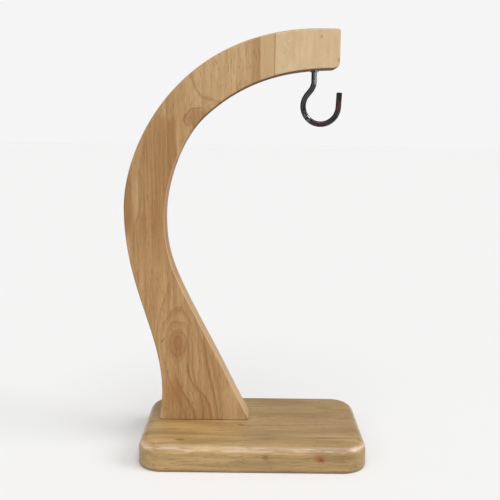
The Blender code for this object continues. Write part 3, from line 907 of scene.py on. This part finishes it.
hookSteelLook = {
    **steelLook,
    "relief": (0.25, 0.00020),
    "mottle": ((0.0030, 0.0030, 0.0034), 4, 0.55),
    "fine": ((0.0005, 0.0005, 0.0005), 3, 0.6, (4, 4, 4)),
    "speckle": ((0.0010, 0.0010, 0.0014), 2, 0.6, (1, 6, 2)),
    "mottleZone": (0.38, 0.62, 0.05, 0.45),
    "upperHeights": (hookLow.z + 0.007, hookLow.z + 0.020),
    "upperAcross": (shankX + 0.006, shankX + 0.001),
    "speckleZone": (0.54, 0.68, 0.0, 0.5),
    # painted highlight on the stem's right side and a painted glint in the bowl
    "stemHeights": (seatZ - 0.0125, seatZ - 0.0085),
    "stemAcross": (shankX - 0.0005, shankX + 0.0009),
    "stemHighlightBreakup": (0.36, 0.52, 0.1, 0.9),
    "bowlGlint": ((shankX - 0.0046, armMiddleY, hookLow.z + 0.0074), (0.0036, 0.01, 0.0064), -38, 0.1),
    "bowlGlintZone": (0.48, 0.58),
    "lipRust": ((hookHigh.x - 0.002, armMiddleY, hookLow.z + 0.0165), (0.006, 0.01, 0.0085), 0, 0.3),
    "footRust": (hookLow.z + 0.007, hookLow.z + 0.002),
    "rustPatches": (0.38, 0.52, 0.35, 1.0),
    "metalZone": (0.1, 0.9, 1.0, 0.35),
    "glossZone": (0.0, 1.0, 0.20, 0.45),
}


def makeHookSteel():
    look = hookSteelLook
    paint = Paint("hookSteel", look)
    here = paint.place()
    x, _, z = paint.split(here)
    mottle = paint.noise(here, "mottle")
    fine = paint.noise(here, "fine")
    speckle = paint.noise(here, "speckle")
    paint.lay("black")
    paint.lay("dark", paint.zone(mottle, "mottleZone"))
    paint.lay("dark", paint.zone(z, "upperHeights") * paint.zone(x, "upperAcross") * 0.80)
    paint.lay("grey", paint.zone(speckle, "speckleZone"))

    # painted highlight: bright streaks on the right side of the stem, and a painted glint low inside the
    # bowl
    stemHighlight = paint.zone(z, "stemHeights") * paint.zone(x, "stemAcross") * paint.zone(fine, "stemHighlightBreakup")
    bowl = paint.mark(here, "bowlGlint") * paint.zone(speckle, "bowlGlintZone")
    paint.lay("platingAndHighlight", paint.math("MAXIMUM", stemHighlight, bowl * 0.5))

    # rust, most of all half way up the lip
    rusty = paint.math("MAXIMUM", paint.zone(z, "footRust") * 0.5, paint.mark(here, "lipRust"))
    rusty = rusty * paint.zone(mottle, "rustPatches")
    paint.lay("rust", rusty)
    paint.bump(mottle * 0.7 + fine * 0.4, *look["relief"])
    gloss = fine * 0.12 + paint.zone(rusty, "glossZone")
    return paint.finish(gloss, Metallic=paint.zone(rusty, "metalZone"))


collarSteelLook = {
    **steelLook,
    "relief": (0.35, 0.00025),
    "mottle": ((0.0012, 0.0012, 0.0010), 4, 0.6),
    "fine": ((0.0004, 0.0004, 0.0004), 2, 0.6, (4, 4, 4)),
    "greyZone": (0.40, 0.60),
    "fleckZone": (0.50, 0.60),
    # painted highlight: bright flecks on the collar's right side
    "gleamAcross": (shankX - 0.0010, shankX + 0.0020, 0.15, 1.0),
    "roughness": 0.24,
}


def makeCollarSteel():
    look = collarSteelLook
    paint = Paint("collarSteel", look)
    here = paint.place()
    x, _, _ = paint.split(here)
    mottle = paint.noise(here, "mottle")
    fine = paint.noise(here, "fine")
    paint.lay("black")
    paint.lay("grey", paint.zone(mottle, "greyZone"))
    # painted highlight: bright flecks on the collar's right side
    paint.lay("platingAndHighlight", paint.zone(mottle, "fleckZone") * paint.zone(x, "gleamAcross"))
    paint.bump(mottle + fine * 0.4, *look["relief"])
    return paint.finish(fine * 0.2 + look["roughness"], Metallic=1.0)


screwSteelLook = {
    **steelLook,
    "relief": (0.2, 0.0001),
    "mottle": ((0.0018, 0.0018, 0.0018), 3, 0.6),
    "fine": ((0.0003, 0.0003, 0.0003), 2, 0.6, (4, 4, 4)),
    "brassZone": (0.35, 0.7),
    "roughness": 0.24,
}


def makeScrewSteel():
    look = screwSteelLook
    paint = Paint("screwSteel", look)
    here = paint.place()
    mottle = paint.noise(here, "mottle")
    paint.lay("platingAndHighlight")
    paint.lay("brass", paint.zone(mottle, "brassZone"))
    paint.bump(paint.noise(here, "fine"), *look["relief"])
    return paint.finish(mottle * 0.18 + look["roughness"], Metallic=1.0)


# Base: a rounded block with two counterbored screw holes

baseShape = {
    "cornerRadius": 0.019,
    "topRound": 0.0093,
    "footRound": 0.0018,
    "cornerSteps": 24,
    "roundSteps": 14,
    "footSteps": 5,
    "supportInset": 0.0006,
    "screwClearance": 0.0023,
    "counterbore": 0.0050,
    "counterboreDepth": 0.0070,
}


def roundedRectangle(inset):
    # the base's outline seen from above, drawn in by the inset
    radius = baseShape["cornerRadius"] - inset
    points = []
    corners = ((1, 1, 0), (-1, 1, 90), (-1, -1, 180), (1, -1, 270))
    middle = (baseLow + baseHigh) / 2
    half = (baseHigh - baseLow) / 2
    for sideX, sideY, start in corners:
        centerX = middle.x + sideX * (half.x - baseShape["cornerRadius"])
        centerY = middle.y + sideY * (half.y - baseShape["cornerRadius"])
        for i in range(baseShape["cornerSteps"] + 1):
            angle = math.radians(start + 90 * i / baseShape["cornerSteps"])
            points.append((centerX + radius * math.cos(angle), centerY + radius * math.sin(angle)))
    return points


def makeBase():
    shape = baseShape
    upper = quarterRound(shape["topRound"], shape["roundSteps"])
    lower = quarterRound(shape["footRound"], shape["footSteps"])
    top = [(inset, baseHigh.z - drop) for inset, drop in upper]
    foot = [(inset, baseLow.z + drop) for inset, drop in lower]
    layers = [(foot[0][0] + shape["supportInset"], baseLow.z)] + foot
    layers += top[::-1] + [(top[0][0] + shape["supportInset"], baseHigh.z)]
    rings = [[(x, y, z) for x, y in roundedRectangle(inset)] for inset, z in layers]
    base = newObject("baseBlock", stackedRings("baseBlock", rings))
    holes = []
    past = meshDetail["drillPast"]
    for low, high in screwBoxes.values():
        x, y = (low.x + high.x) / 2, (low.y + high.y) / 2
        boreTop = baseLow.z + shape["counterboreDepth"]
        holes.append((x, y, baseLow.z - past, baseHigh.z + past, shape["screwClearance"]))
        holes.append((x, y, baseLow.z - past, boreTop, shape["counterbore"]))
    base = drilled(base, holes)
    finishPiece(base, "base", "stand", makeBaseWood())


# Arm: one sawn outline, cut in two at the glue joint

armShape = {
    "footLength": 0.0700,
    "footInset": 0.0260,      # belly to the foot's left end
    "footHeading": 85,        # degrees, the way the outline leaves the foot's left end
    "footHold": 0.006,        # holds are the lengths of the outline's handles
    "waistHeight": 0.0225,
    "waistTuck": 0.0020,
    "waistHolds": (0.006, 0.048),
    "bellyHeight": 0.1655,
    "bellyHolds": (0.061, 0.049),
    "crownFromTip": 0.0140,
    "crownHolds": (0.103, 0.004),
    "tipDepth": 0.0284,
    "tipFootRound": 0.0050,
    "undersideHeading": -178,
    "undersideHold": 0.021,
    "shoulderFromTip": 0.0995,
    "shoulderDrop": 0.0640,
    "shoulderHeading": -137,
    "shoulderHolds": (0.0485, 0.025),
    "throatWidth": 0.0310,
    "throatDrop": 0.0055,
    "throatHolds": (0.024, 0.032),
    "heelHeading": -62.5,
    "heelTop": (0.0260, 0.0535),      # in from the foot's right end, and up
    "heelTopHolds": (0.073, 0.010),
    "heelLow": (0.0060, 0.0135),
    "heelLowHolds": (0.010, 0.0055),
    "footRightHeading": -92,
    "leastHold": 0.001,
    "edgeRound": 0.0014,
    "footFade": 0.0030,       # height over which the rounded edge comes in
    "cornerSpare": 0.0004,
    "supportInset": 0.0002,
    "squareEdge": 0.00016,    # a hair of softening on the foot and the glue joint
    "outlineStep": 0.0009,
    "leastStep": 0.0003,
    "shortSteps": 6,          # on a part of the outline shorter than five steps
    "roundSteps": 7,
    "straight": 0.15,         # corners flatter than this are moved along their middle
    "jointGap": 0.00006,
    "pilotRadius": 0.0023,
    "pilotSpare": 0.0005,
    "hookHoleRadius": 0.0024,
    "hookHoleSpare": 0.0015,
    "spotFace": 0.0048,
    "spotFaceDepth": 0.0003,
}


def direction(heading):
    return Vector((math.cos(math.radians(heading)), math.sin(math.radians(heading)), 0))


def knotPoint(x, z, heading, before, after):
    # a point of the outline, with its two handles
    point = Vector((x, z, 0))
    ahead = direction(heading)
    return point - ahead * before, point, point + ahead * after


def roundedCorner(x, z, headingIn, headingOut, radius, after=armShape["leastHold"]):
    handle = radius * meshDetail["arcHandle"]
    corner = Vector((x, z, 0))
    start = corner - direction(headingIn) * radius
    end = corner + direction(headingOut) * radius
    return [
        knotPoint(start.x, start.y, headingIn, armShape["leastHold"], handle),
        knotPoint(end.x, end.y, headingOut, handle, after),
    ]


def armKnots():
    shape = armShape
    tipX, crownZ, footZ, belly = tipHigh.x, tipHigh.z, boardLow.z, boardLow.x
    left = belly + shape["footInset"]
    right = left + shape["footLength"]
    underside = crownZ - shape["tipDepth"]
    corner = shape["edgeRound"] + shape["cornerSpare"]
    bellyZ = footZ + shape["bellyHeight"]
    waist = (left + shape["waistTuck"], footZ + shape["waistHeight"])
    shoulder = (tipX - shape["shoulderFromTip"], crownZ - shape["shoulderDrop"])
    throat = (belly + shape["throatWidth"], bellyZ - shape["throatDrop"])
    heel = shape["heelHeading"]
    topIn, topUp = shape["heelTop"]
    lowIn, lowUp = shape["heelLow"]
    footRound, hold = shape["tipFootRound"], shape["undersideHold"]
    return [
        *roundedCorner(left, footZ, 180, shape["footHeading"], corner, shape["footHold"]),
        knotPoint(*waist, 90, *shape["waistHolds"]),
        knotPoint(belly, bellyZ, 90, *shape["bellyHolds"]),
        knotPoint(tipX - shape["crownFromTip"], crownZ, 0, *shape["crownHolds"]),
        *roundedCorner(tipX, crownZ, 0, -90, corner),
        *roundedCorner(tipX, underside, -90, shape["undersideHeading"], footRound, hold),
        knotPoint(*shoulder, shape["shoulderHeading"], *shape["shoulderHolds"]),
        knotPoint(*throat, -90, *shape["throatHolds"]),
        knotPoint(right - topIn, footZ + topUp, heel, *shape["heelTopHolds"]),
        knotPoint(right - lowIn, footZ + lowUp, heel, *shape["heelLowHolds"]),
        *roundedCorner(right, footZ, shape["footRightHeading"], -180, corner),
    ]


def outlinePoints(knots, step):
    points = []
    for (_, start, leave), (arrive, end, _) in zip(knots, knots[1:] + knots[:1]):
        length = (end - start).length
        count = round(length / step) if length > 5 * step else armShape["shortSteps"]
        points += interpolate_bezier(start, leave, arrive, end, count + 1)[:-1]
    spaced = points[:1]
    for point in points[1:]:
        if (point - spaced[-1]).length > armShape["leastStep"]:
            spaced.append(point)
    return spaced


def cutAt(points, x, side):
    # the part of an outline left (-1) or right (+1) of an upright line
    kept = []
    for start, end in zip(points, points[1:] + points[:1]):
        if (start.x - x) * side > armShape["outlineStep"]:
            kept.append(start)
        if (start.x - x) * (end.x - x) < 0:
            kept.append(start.lerp(end, (x - start.x) / (end.x - start.x)))
    return kept


def drawnIn(points, inset, squareX, squareInset):
    # the outline moved inward; its foot and its glue joint move by their own inset
    count = len(points)
    moves = []
    for i, start in enumerate(points):
        end = points[(i + 1) % count]
        run = (end - start).normalized()
        height = (start.y + end.y) / 2 - boardLow.z
        share = min(1.0, max(0.0, height / armShape["footFade"]))
        if max(abs(start.x - squareX), abs(end.x - squareX)) < meshDetail["onLine"]:
            share = 0.0
        inward = Vector((run.y, -run.x, 0))
        moves.append((inward, squareInset + (inset - squareInset) * share))
    moved = []
    for i, point in enumerate(points):
        (first, a), (second, b) = moves[i - 1], moves[i]
        cross = first.x * second.y - first.y * second.x
        if abs(cross) < armShape["straight"]:
            moved.append(point + (first + second).normalized() * (a + b) / 2)
        else:
            push = Vector((a * second.y - b * first.y, b * first.x - a * second.x, 0)) / cross
            moved.append(point + push)
    return moved


def sawnPiece(name, points, squareX):
    # rings from the middle of one face over its rounded edges to the other
    shape = armShape
    half = (boardHigh.y - boardLow.y) / 2
    support, soft = shape["supportInset"], shape["squareEdge"]
    layers = [(shape["edgeRound"] + support, half, soft + support)]
    for inset, drop in quarterRound(shape["edgeRound"], shape["roundSteps"]):
        layers.append((inset, half - drop, max(0.0, soft - drop)))
    rings = []
    for side, order in ((-1, layers), (1, layers[::-1])):
        for inset, out, squareInset in order:
            outline = drawnIn(points, inset, squareX, squareInset)
            rings.append([(p.x, armMiddleY + side * out, p.y) for p in outline])
    return newObject(name, stackedRings(name, rings))


def makeArm():
    shape = armShape
    outline = outlinePoints(armKnots(), shape["outlineStep"])
    boardEnd = jointX - shape["jointGap"] / 2
    blockEnd = jointX + shape["jointGap"] / 2
    board = sawnPiece("armBoard", cutAt(outline, boardEnd, -1), boardEnd)
    past = meshDetail["drillPast"]
    pilots = []
    for low, high in screwBoxes.values():
        x, y = (low.x + high.x) / 2, (low.y + high.y) / 2
        pilots.append((x, y, boardLow.z - past, high.z + shape["pilotSpare"], shape["pilotRadius"]))
    board = drilled(board, pilots)
    finishPiece(board, "arm_board", "stand", makeArmWood())

    block = sawnPiece("armTipBlock", cutAt(outline, blockEnd, 1), blockEnd)
    holeTop = hookHigh.z + shape["hookHoleSpare"]
    hookHole = (shankX, armMiddleY, seatZ - past, holeTop, shape["hookHoleRadius"])
    spotTop = seatZ + shape["spotFaceDepth"]
    spotFace = (shankX, armMiddleY, seatZ - past, spotTop, shape["spotFace"])
    block = drilled(block, [hookHole, spotFace])
    finishPiece(block, "arm_tip_block", "stand", makeTipWood())


# Threaded wire: a Geometry Nodes tree that the hook and the wood screws share

def threadedWireTree():
    tree = bpy.data.node_groups.new("threadedWire", "GeometryNodeTree")
    socket = tree.interface.new_socket
    socket("Path", in_out="INPUT", socket_type="NodeSocketGeometry")
    for name, value in hookWire.items():
        kind = "NodeSocketInt" if isinstance(value, int) else "NodeSocketFloat"
        socket(name, in_out="INPUT", socket_type=kind).default_value = value
    socket("Finish", in_out="INPUT", socket_type="NodeSocketMaterial")
    socket("Wire", in_out="OUTPUT", socket_type="NodeSocketGeometry")
    bench = Bench(tree)
    given = {s.name: Wire(bench, s) for s in tree.nodes.new("NodeGroupInput").outputs}

    def ramp(value, low, high, toLow, toHigh):
        return bench.ramp(value, low, high, toLow, toHigh, "LINEAR")

    def store(geometry, name, value, kind="FLOAT"):
        inputs = {"Name": name, "Geometry": geometry, "Value": value}
        return bench.add("GeometryNodeStoreNamedAttribute", inputs, data_type=kind, domain="POINT")

    def recall(name, kind="FLOAT"):
        return bench.add("GeometryNodeInputNamedAttribute", {"Name": name}, "Attribute", data_type=kind)

    spaced = {"Curve": given["Path"], "Length": given["Step"]}
    path = bench.add("GeometryNodeResampleCurve", spaced, mode="LENGTH")
    along = bench.add("GeometryNodeSplineParameter", output="Length")
    whole = bench.add("GeometryNodeSplineLength", output="Length")
    place = bench.add("GeometryNodeInputPosition")
    path = store(path, "along", along)
    path = store(path, "middle", place, "FLOAT_VECTOR")

    # the wire thins to a point at its start and is softened at its end
    point = ramp(along, 0.0, given["Point Length"], given["Point Sharpness"], 1.0)
    toEnd = 1.0 - bench.math("MINIMUM", (whole - along) / given["End Round"], 1.0)
    soft = bench.math("SQRT", 1.0 - toEnd * toEnd * given["End Softness"])
    radius = point * soft * given["Wire Radius"]

    circle = bench.add("GeometryNodeCurvePrimitiveCircle", {"Resolution": given["Sides"], "Radius": 1.0})
    profile = store(circle, "around", bench.add("GeometryNodeSplineParameter", output="Factor"))
    sweep = {"Curve": path, "Profile Curve": profile, "Scale": radius, "Fill Caps": True}
    skin = bench.add("GeometryNodeCurveToMesh", sweep)

    # a right-handed ridge winds round the wire, with a groove between its turns
    wound = bench.math("FRACT", recall("along") / given["Thread Pitch"] - recall("around"))
    ridge = 1.0 - bench.math("ABSOLUTE", wound * 2.0 - 1.0)
    crest = ramp(ridge, given["Groove Share"], given["Crest Share"], 0.0, 1.0)
    height = crest * (given["Thread Height"] + given["Thread Root"]) - given["Thread Root"]
    fadeEnd = given["Thread Length"] + given["Thread Fade"]
    shown = ramp(recall("along"), given["Thread Length"], fadeEnd, 1.0, 0.0)
    started = ramp(recall("along"), 0.0, given["Point Length"], given["Start Share"], 1.0)
    outward = bench.move("SUBTRACT", place, recall("middle", "FLOAT_VECTOR"))
    push = {0: bench.move("NORMALIZE", outward), "Scale": height * shown * started}
    push = bench.add("ShaderNodeVectorMath", push, operation="SCALE")
    skin = bench.add("GeometryNodeSetPosition", {"Geometry": skin, "Offset": push})
    skin = bench.add("GeometryNodeRealizeInstances", (skin,))
    skin = bench.add("GeometryNodeSetMaterial", {"Geometry": skin, "Material": given["Finish"]})
    bench.put(tree.nodes.new("NodeGroupOutput").inputs[0], skin)
    return tree


def threadedWire(name, points, tree, finish, sizes):
    curve = bpy.data.curves.new(name, "CURVE")
    curve.dimensions = "3D"
    spline = curve.splines.new("POLY")
    spline.points.add(len(points) - 1)
    for target, point in zip(spline.points, points):
        target.co = (*point, 1)
    holder = newObject(name + "Path", curve)
    modifier = holder.modifiers.new("threadedWire", "NODES")
    modifier.node_group = tree
    sockets = {s.name: s.identifier for s in tree.interface.items_tree if s.in_out == "INPUT"}
    modifier[sockets["Finish"]] = finish
    for label, value in sizes.items():
        modifier[sockets[label]] = value
    made = settled(holder, name)
    for kept in ("along", "middle", "around"):
        spare = made.data.attributes.get(kept)
        if spare:
            made.data.attributes.remove(spare)
    bm = bmesh.new()
    bm.from_mesh(made.data)
    bmesh.ops.remove_doubles(bm, verts=bm.verts, dist=meshDetail["same"])
    bmesh.ops.recalc_face_normals(bm, faces=bm.faces)
    bm.to_mesh(made.data)
    bm.free()
    shadeRound(made.data, meshDetail["wireSmoothAngle"])
    return made


# Hook: the wire's route, from the point of the screw down and round to the lip

hookShape = {
    "bowlRadius": 0.0132,
    "bowlOffset": 0.0054,
    "bowlDrop": 0.0269,
    "runSlope": 51.0,
    "bendRadius": 0.0110,
    "lipLean": 2.6,
    "lipRise": 0.0102,
    "arcStep": 0.0005,
}

hookWire = {
    "Wire Radius": 0.0021,
    "Step": 0.0002,
    "Point Length": 0.0050,
    "Point Sharpness": 0.15,
    "Thread Pitch": 0.0018,
    "Thread Height": 0.00020,
    "Thread Root": 0.00035,
    "Thread Length": 0.0215,
    "Thread Fade": 0.0025,
    "Groove Share": 0.35,     # of a turn's half, where the ridge starts to climb
    "Crest Share": 0.85,      # and where it is at its height
    "Start Share": 0.25,      # the thread's height at the very point
    "End Round": 0.0006,
    "End Softness": 0.45,
    "Sides": 48,
}


def arcPoints(center, radius, start, end):
    turn = math.radians(end - start)
    count = max(2, round(abs(turn) * radius / hookShape["arcStep"]))
    angles = [math.radians(start) + turn * i / count for i in range(count + 1)]
    return [center + Vector((math.cos(a), math.sin(a), 0)) * radius for a in angles]


def hookRoute():
    shape = hookShape
    heading = 180 + shape["runSlope"]
    run = direction(heading)
    bowl = Vector((shankX + shape["bowlOffset"], seatZ - shape["bowlDrop"], 0))
    meetsBowl = bowl + direction(heading - 90) * shape["bowlRadius"]
    corner = meetsBowl - run * ((meetsBowl.x - shankX) / run.x)
    turn = heading - 270
    tangent = shape["bendRadius"] * math.tan(math.radians(abs(turn)) / 2)
    bend = Vector((shankX - shape["bendRadius"], corner.y + tangent, 0))
    around = arcPoints(bowl, shape["bowlRadius"], heading - 90, 360 - shape["lipLean"])
    lip = direction(90 - shape["lipLean"])
    lipEnd = around[-1] + lip * ((bowl.y + shape["lipRise"] - around[-1].y) / lip.y)
    route = [Vector((shankX, hookHigh.z, 0))] + arcPoints(bend, shape["bendRadius"], 0, turn)
    route += around + [lipEnd]
    return [(p.x, armMiddleY, p.y) for p in route]


def makeHook(tree):
    finish = makeHookSteel()
    hook = threadedWire("screwHook", hookRoute(), tree, finish, hookWire)
    finishPiece(hook, "hook", "hook", finish)


# Collar: a small turned cone pressed up against the wood

collarShape = {
    "rim": 0.0005,
    "wall": 0.0006,
    "bore": 0.0024,
    "edge": 0.00018,
    "flare": ((0.0007, 0.00052), (0.0002, 0.00022), (0.0, 0.00005), (-0.0001, 0.0)),  # out, up
    "steps": 72,
}


def turnedMesh(name, profile, x, y, steps):
    # the profile runs down the outer side as (radius, z); a ring if no point is on the axis
    bm = bmesh.new()
    rings = []
    for i in range(steps):
        angle = 2 * math.pi * i / steps
        ring = []
        for radius, z in profile:
            ring.append(bm.verts.new((x + radius * math.cos(angle), y + radius * math.sin(angle), z)))
        rings.append(ring)
    closed = all(radius > 0 for radius, _ in profile)
    last = len(profile) if closed else len(profile) - 1
    for i in range(steps):
        here, beside = rings[i], rings[(i + 1) % steps]
        for j in range(last):
            k = (j + 1) % len(profile)
            bm.faces.new((here[j], here[k], beside[k], beside[j]))
    bmesh.ops.remove_doubles(bm, verts=bm.verts, dist=meshDetail["same"])
    bmesh.ops.dissolve_degenerate(bm, dist=meshDetail["sliver"], edges=bm.edges)
    bmesh.ops.recalc_face_normals(bm, faces=bm.faces)
    return meshOf(bm, name)


def makeCollar():
    shape = collarShape
    outer = (collarHigh.x - collarLow.x) / 2
    top, bottom = collarHigh.z, collarLow.z
    edge, inner = shape["edge"], shape["bore"]
    small = inner + shape["wall"]
    profile = [
        (outer - edge, top),
        (outer, top - edge),
        (outer, top - shape["rim"]),
        (outer - edge, top - shape["rim"] - edge),
        *((small + out, bottom + up) for out, up in shape["flare"]),
        (inner, bottom),
        (inner, top),
    ]
    mesh = turnedMesh("hookCollar", profile, shankX, armMiddleY, shape["steps"])
    collar = newObject("hookCollar", mesh)
    shadeRound(collar.data, meshDetail["wireSmoothAngle"])
    finishPiece(collar, "hook_collar", "collar", makeCollarSteel())


# Wood screws: threaded wire with a round head and a cross recess

screwWire = {
    **hookWire,
    "Wire Radius": 0.0017,
    "Point Length": 0.0060,
    "Point Sharpness": 0.05,
    "Thread Height": 0.0003,
    "Thread Root": 0.0004,
    "Thread Length": 0.0300,
    "Thread Fade": 0.0010,
    "End Round": 0.0001,
    "Sides": 28,
}

screwHead = {
    "height": 0.0028,
    "flatShare": 0.45,        # of the radius, where the dome is flat
    "slotWidth": 0.0011,
    "slotSpan": 0.0046,
    "slotDepth": 0.0014,
    "shankSunk": 0.0004,      # how far the shank runs into the head
    "steps": 44,
    "domeSteps": 8,
}


def screwHeadProfile(radius, seat, low):
    shape = screwHead
    profile = [(0.0, seat), (radius, seat)]
    for i in range(1, shape["domeSteps"] + 1):
        angle = math.pi / 2 * i / shape["domeSteps"]
        share = shape["flatShare"] + (1 - shape["flatShare"]) * math.cos(angle)
        profile.append((radius * share, seat - shape["height"] * math.sin(angle)))
    return profile + [(0.0, low)]


def makeScrews(tree):
    shape = screwHead
    finish = makeScrewSteel()
    for node, (low, high) in screwBoxes.items():
        x, y = (low.x + high.x) / 2, (low.y + high.y) / 2
        seat = low.z + shape["height"]
        profile = screwHeadProfile((high.x - low.x) / 2, seat, low.z)
        head = newObject("head", turnedMesh("head", profile, x, y, shape["steps"]))
        tools = []
        cross = (shape["slotSpan"], shape["slotWidth"])
        for wide, deep in (cross, cross[::-1]):
            bm = bmesh.new()
            bmesh.ops.create_cube(bm, size=1.0)
            bmesh.ops.scale(bm, vec=(wide, deep, 2 * shape["slotDepth"]), verts=bm.verts)
            bmesh.ops.translate(bm, vec=(x, y, low.z), verts=bm.verts)
            tools.append((newObject("slot", meshOf(bm, "slot")), "DIFFERENCE"))
        route = [(x, y, high.z), (x, y, seat - shape["shankSunk"])]
        tools.append((threadedWire("shank", route, tree, finish, screwWire), "UNION"))
        for tool, operation in tools:
            change = head.modifiers.new(tool.name, "BOOLEAN")
            change.operation = operation
            change.solver = "EXACT"
            change.object = tool
        screw = settled(head, "woodScrewLeft" if "left" in node else "woodScrewRight")
        for tool, _ in tools:
            bpy.data.objects.remove(tool)
        shadeRound(screw.data, meshDetail["wireSmoothAngle"])
        finishPiece(screw, node, "stand", finish)


makeStudio()
makeBase()
makeArm()
wireTree = threadedWireTree()
makeHook(wireTree)
makeCollar()
makeScrews(wireTree)
